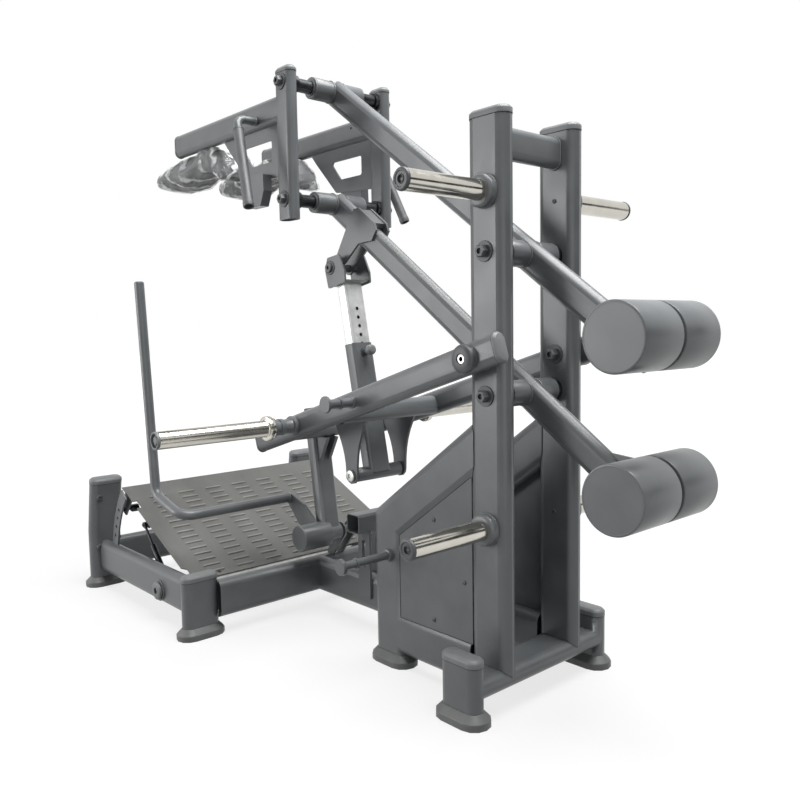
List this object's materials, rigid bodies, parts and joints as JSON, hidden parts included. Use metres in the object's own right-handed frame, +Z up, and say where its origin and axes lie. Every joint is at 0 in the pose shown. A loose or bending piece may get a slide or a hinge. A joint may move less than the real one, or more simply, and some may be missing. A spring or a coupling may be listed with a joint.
{
  "type": "squat machine",
  "caption": "Standing lever squat machine: twin-lever yoke with shoulder pads, plate-loaded arm and strut, catch with release lever, louvred tilting footplate.",
  "frame": {"origin": "bottom centre of the overall box, on the floor", "axes": "+Z up; +Y from the footplate towards the counterweights; +X towards the release lever, the user's right when facing the uprights"},
  "size_m": [1.358, 2.177, 1.7419],
  "materials": {
    "paint": "satin charcoal powder coat",
    "cap": "moulded grey plastic",
    "rubber": "moulded grey rubber",
    "chrome": "polished hard chrome",
    "steel": "bright zinc-plated steel",
    "dark": "black oxide",
    "plate": "textured powder coat",
    "grip": "moulded black grip",
    "pad": "black synthetic leather under a clear wrap"
  },
  "bodies": {
    "root": {"upright_left": "paint", "upright_right": "paint", "upright_cap_left": "cap", "upright_cap_right": "cap", "side_frame_left": "paint", "side_frame_right": "paint", "side_frame_foot_left": "rubber", "side_frame_foot_right": "rubber", "rear_foot_left": "rubber", "rear_foot_right": "rubber", "platform_side_left": "paint", "platform_side_right": "paint", "platform_front_foot_left": "rubber", "platform_front_foot_right": "rubber", "platform_rear_foot_left": "rubber", "platform_rear_foot_right": "rubber", "storage_horn_low_left": "chrome", "storage_horn_low_right": "chrome", "storage_horn_high_left": "chrome", "storage_horn_high_right": "chrome", "rear_base": "paint", "top_cross_tube": "paint", "spine_frame": "paint", "platform_rear_beam": "paint", "tilt_axle": "steel", "gas_spring_stud": "steel", "fulcrum_shaft_low": "steel", "fulcrum_shaft_high": "steel"},
    "lower_lever": {"lower_lever": "paint", "lower_counterweight": "paint", "strut_bracket": "paint"},
    "upper_lever": {"upper_lever": "paint", "upper_counterweight": "paint"},
    "yoke": {"yoke_side_left": "paint", "yoke_side_right": "paint", "handle_left": "grip", "handle_right": "grip", "shoulder_pad_left": "pad", "shoulder_pad_right": "pad", "yoke_shaft_low": "dark", "yoke_shaft_high": "dark"},
    "load_arm": {"load_arm_left": "paint", "load_arm_right": "paint", "load_horn_left": "chrome", "load_horn_right": "chrome", "load_arm_rear_tube": "paint", "load_arm_front_bar": "paint", "strut_axle": "steel"},
    "strut": {"strut_outer_tube": "paint", "strut_inner_tube": "steel", "strut_clevis": "paint"},
    "pop_pin": {"strut_pop_pin": "grip"},
    "catch": {"catch_post": "paint", "release_lever": "paint"},
    "footplate": {"footplate": "plate", "footplate_frame": "paint"},
    "index_pin": {"index_pin": "dark"},
    "gas_cylinder": {"gas_spring_cylinder": "dark"},
    "gas_rod": {"gas_spring_rod": "steel"}
  },
  "joints": [
    {"name": "lever_swing", "type": "hinge", "parent": "root", "child": "lower_lever", "pos_m": [0, 0.6545, 0.786], "axis": [-1, 0, 0], "range_deg": [0, 20]},
    {"name": "upper_lever_swing", "type": "hinge", "parent": "root", "child": "upper_lever", "pos_m": [0, 0.6545, 1.1335], "axis": [-1, 0, 0], "range_deg": [-0.5, 20.5]},
    {"name": "yoke_swing", "type": "hinge", "parent": "lower_lever", "child": "yoke", "pos_m": [0, -0.1225, 1.35135], "axis": [-1, 0, 0], "range_deg": [-20.5, 0.5]},
    {"name": "load_arm_swing", "type": "hinge", "parent": "root", "child": "load_arm", "pos_m": [0, 0.6545, 0.879], "axis": [-1, 0, 0], "range_deg": [-0.5, 20.5]},
    {"name": "strut_swing", "type": "hinge", "parent": "lower_lever", "child": "strut", "pos_m": [0, -0.0995, 1.148], "axis": [-1, 0, 0], "range_deg": [-0.5, 3.5]},
    {"name": "pop_pin_pull", "type": "slide", "parent": "strut", "child": "pop_pin", "axis": [0, 0.9801, 0.1983], "range_m": [0, 0.012], "stiffness_N_per_m": 500},
    {"name": "catch_swing", "type": "hinge", "parent": "root", "child": "catch", "pos_m": [0, -0.2095, 0.265], "axis": [1, 0, 0], "range_deg": [0, 25]},
    {"name": "footplate_tilt", "type": "hinge", "parent": "root", "child": "footplate", "pos_m": [0, -0.5195, 0.101], "axis": [-1, 0, 0], "range_deg": [-15, 0]},
    {"name": "index_pin_slide", "type": "slide", "parent": "footplate", "child": "index_pin", "axis": [1, 0, 0], "range_m": [0, 0.012]},
    {"name": "gas_cylinder_swing", "type": "hinge", "parent": "root", "child": "gas_cylinder", "pos_m": [0.395, -0.6455, 0.1], "axis": [-1, 0, 0], "range_deg": [-22.5, 0.2]},
    {"name": "gas_rod_slide", "type": "slide", "parent": "gas_cylinder", "child": "gas_rod", "axis": [0, -0.6839, 0.7295], "range_m": [-0.021, 0.0005]}
  ],
  "couplings": [
    {"joint": "upper_lever_swing", "follows": "lever_swing", "ratio": 1},
    {"joint": "yoke_swing", "follows": "lever_swing", "ratio": -1},
    {"joint": "load_arm_swing", "follows": "lever_swing", "ratio": 0.9915},
    {"joint": "strut_swing", "follows": "lever_swing", "ratio": 0.137},
    {"joint": "gas_cylinder_swing", "follows": "footplate_tilt", "ratio": 1.47},
    {"joint": "gas_rod_slide", "follows": "footplate_tilt", "m_per_rad": 0.078}
  ]
}
